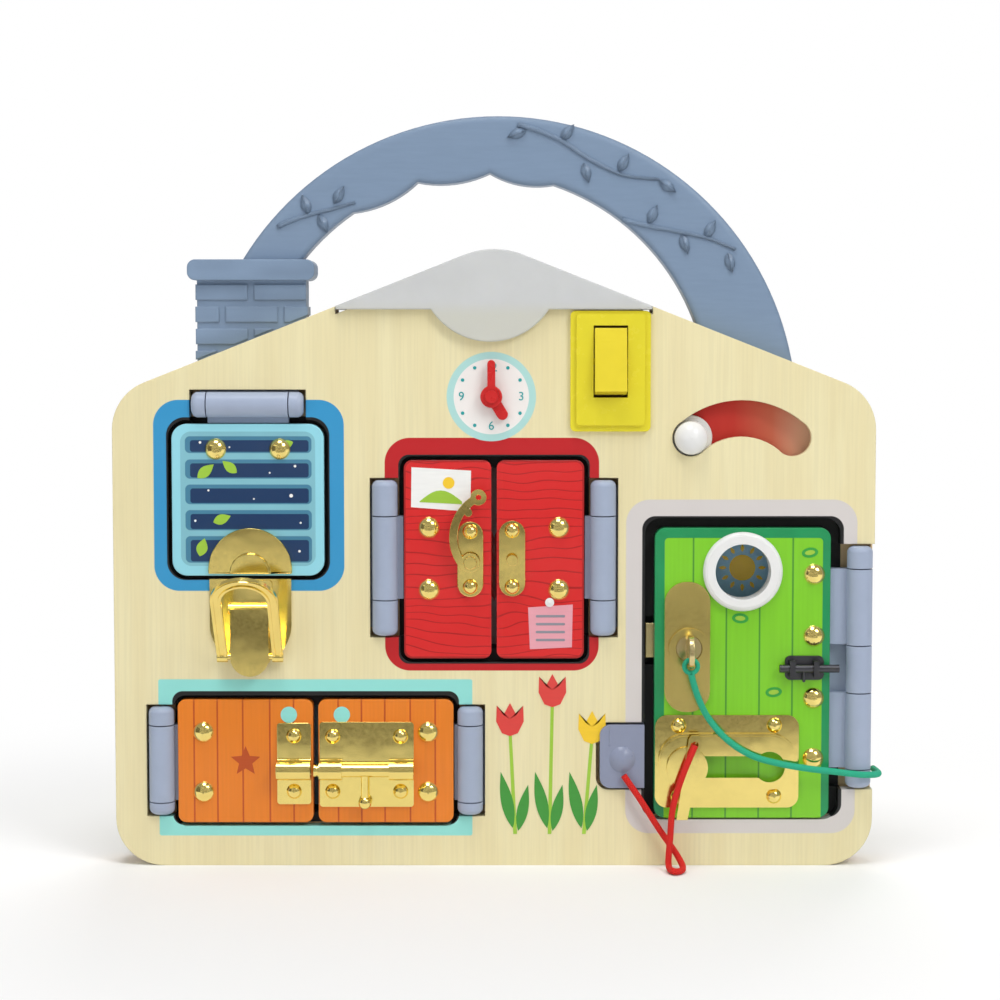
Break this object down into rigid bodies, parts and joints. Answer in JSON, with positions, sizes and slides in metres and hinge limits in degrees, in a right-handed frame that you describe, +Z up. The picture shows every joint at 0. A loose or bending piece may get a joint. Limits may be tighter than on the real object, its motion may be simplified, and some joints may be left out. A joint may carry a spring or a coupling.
{
  "type": "wooden busy board",
  "caption": "House-shaped wooden latch board with little doors, each held by another latch, with hinges, a clock, a slider, a switch and a carrying handle.",
  "frame": {"origin": "centre of the flat bottom face", "axes": "+X to the right seen from the front, +Y to the back, +Z up; the front faces -Y"},
  "size_m": [0.2898, 0.0585, 0.282],
  "materials": {
    "ply": "clear satin lacquer",
    "core": "sanded, unpainted",
    "grey_blue": "satin paint",
    "snow": "milky translucent plastic",
    "board_green": "circuit board",
    "black": "moulded",
    "cover_white": "moulded",
    "steel": "zinc plated",
    "yellow": "glossy moulded",
    "rocker": "glossy moulded",
    "clock_red": "glossy moulded",
    "knob": "glossy moulded",
    "hinge": "satin moulded",
    "blue": "gloss printed",
    "red": "gloss printed",
    "orange": "gloss printed",
    "green": "gloss printed",
    "brass": "polished plating",
    "key_steel": "plated",
    "dark": "satin",
    "cord_red": "braided",
    "cord_green": "braided"
  },
  "bodies": {
    "board": {"front_panel": "ply", "core_frame": "core", "back_panel": "ply", "handle": "grey_blue", "chimney": "grey_blue", "snow_cap": "snow", "lamp_module": "board_green", "battery_box": "black", "battery_cover": "cover_white", "back_screws": "steel", "switch_plate": "yellow", "clock_pin": "clock_red", "blue_hinge": "hinge", "red_hinges": "hinge", "orange_hinges": "hinge", "green_hinge": "hinge", "toggle_base": "brass", "anchor_block": "hinge", "anchor_cord": "cord_red"},
    "rocker": {"switch_rocker": "rocker"},
    "minute": {"minute_hand": "clock_red"},
    "hour": {"hour_hand": "clock_red"},
    "knob": {"arc_knob": "knob"},
    "blue_door": {"blue_door": "blue", "blue_leaf": "hinge", "blue_screws": "brass", "toggle_strike": "brass"},
    "lever": {"toggle_lever": "brass"},
    "bail": {"toggle_bail": "brass"},
    "red_left": {"red_left_door": "red", "red_left_leaf": "hinge", "red_left_screws": "brass", "hook_plate": "brass"},
    "hook": {"hook_arm": "brass"},
    "red_right": {"red_right_door": "red", "red_right_leaf": "hinge", "red_right_screws": "brass", "catch_plate": "brass"},
    "orange_left": {"orange_left_door": "orange", "orange_left_leaf": "hinge", "orange_left_screws": "brass", "bolt_keeper": "brass"},
    "orange_right": {"orange_right_door": "orange", "orange_right_leaf": "hinge", "orange_right_screws": "brass", "bolt_housing": "brass"},
    "bolt": {"bolt_rod": "brass"},
    "green_door": {"green_door": "green", "green_leaf": "hinge", "green_screws": "brass", "peephole": "brass", "lock_case": "brass", "track_plate": "brass", "mini_block": "dark", "key_cord": "cord_green"},
    "key": {"door_key": "key_steel"},
    "lock_tongue": {"lock_bolt": "key_steel"},
    "tag": {"track_tag": "brass"},
    "mini": {"mini_rod": "dark"}
  },
  "joints": [
    {"name": "switch_rocker", "type": "hinge", "parent": "board", "child": "rocker", "pos_m": [0.0435, -0.0123, 0.1906], "axis": [1, 0, 0], "range_deg": [0, 14]},
    {"name": "minute_hand_turn", "type": "hinge", "parent": "board", "child": "minute", "pos_m": [-0.001, -0.014, 0.1775], "axis": [0, -1, 0], "continuous": true},
    {"name": "hour_hand_turn", "type": "hinge", "parent": "board", "child": "hour", "pos_m": [-0.001, -0.012, 0.1775], "axis": [0, -1, 0], "continuous": true},
    {"name": "arc_slider", "type": "hinge", "parent": "board", "child": "knob", "pos_m": [0.0928, 0, 0.1405], "axis": [0, 1, 0], "range_deg": [0, 83]},
    {"name": "blue_door_hinge", "type": "hinge", "parent": "board", "child": "blue_door", "pos_m": [-0.0922, -0.0105, 0.1745], "axis": [-1, 0, 0], "range_deg": [0, 110]},
    {"name": "toggle_lever", "type": "hinge", "parent": "board", "child": "lever", "pos_m": [-0.0915, -0.0145, 0.0982], "axis": [-1, 0, 0], "range_deg": [0, 60]},
    {"name": "toggle_bail", "type": "hinge", "parent": "lever", "child": "bail", "pos_m": [-0.0915, -0.0145, 0.0799], "axis": [1, 0, 0], "range_deg": [-42, 60]},
    {"name": "red_left_hinge", "type": "hinge", "parent": "board", "child": "red_left", "pos_m": [-0.041, -0.0105, 0.117], "axis": [0, 0, -1], "range_deg": [0, 110]},
    {"name": "red_right_hinge", "type": "hinge", "parent": "board", "child": "red_right", "pos_m": [0.041, -0.0105, 0.117], "axis": [0, 0, 1], "range_deg": [0, 110]},
    {"name": "swing_hook", "type": "hinge", "parent": "red_left", "child": "hook", "pos_m": [-0.0089, -0.016, 0.1156], "axis": [0, -1, 0], "range_deg": [-80, 60]},
    {"name": "orange_left_hinge", "type": "hinge", "parent": "board", "child": "orange_left", "pos_m": [-0.1256, -0.0105, 0.04], "axis": [0, 0, -1], "range_deg": [0, 110]},
    {"name": "orange_right_hinge", "type": "hinge", "parent": "board", "child": "orange_right", "pos_m": [-0.009, -0.0105, 0.04], "axis": [0, 0, 1], "range_deg": [0, 110]},
    {"name": "barrel_bolt", "type": "slide", "parent": "orange_right", "child": "bolt", "axis": [1, 0, 0], "range_m": [-0.006, 0.006]},
    {"name": "green_door_hinge", "type": "hinge", "parent": "board", "child": "green_door", "pos_m": [0.1376, -0.0105, 0.075], "axis": [0, 0, 1], "range_deg": [0, 95], "deforming": ["anchor_cord", "key_cord"]},
    {"name": "key_turn", "type": "hinge", "parent": "green_door", "child": "key", "pos_m": [0.0732, -0.012, 0.0831], "axis": [0, -1, 0], "range_deg": [-90, 0]},
    {"name": "lock_tongue", "type": "slide", "parent": "green_door", "child": "lock_tongue", "axis": [1, 0, 0], "range_m": [-0.0032, 0]},
    {"name": "tag_slide", "type": "slide", "parent": "green_door", "child": "tag", "axis": [1, 0, 0], "range_m": [0, 0.033]},
    {"name": "mini_latch", "type": "slide", "parent": "green_door", "child": "mini", "axis": [1, 0, 0], "range_m": [-0.0025, 0.0025]}
  ],
  "couplings": [
    {"joint": "key_turn", "follows": "lock_tongue", "rad_per_m": 490.87}
  ]
}
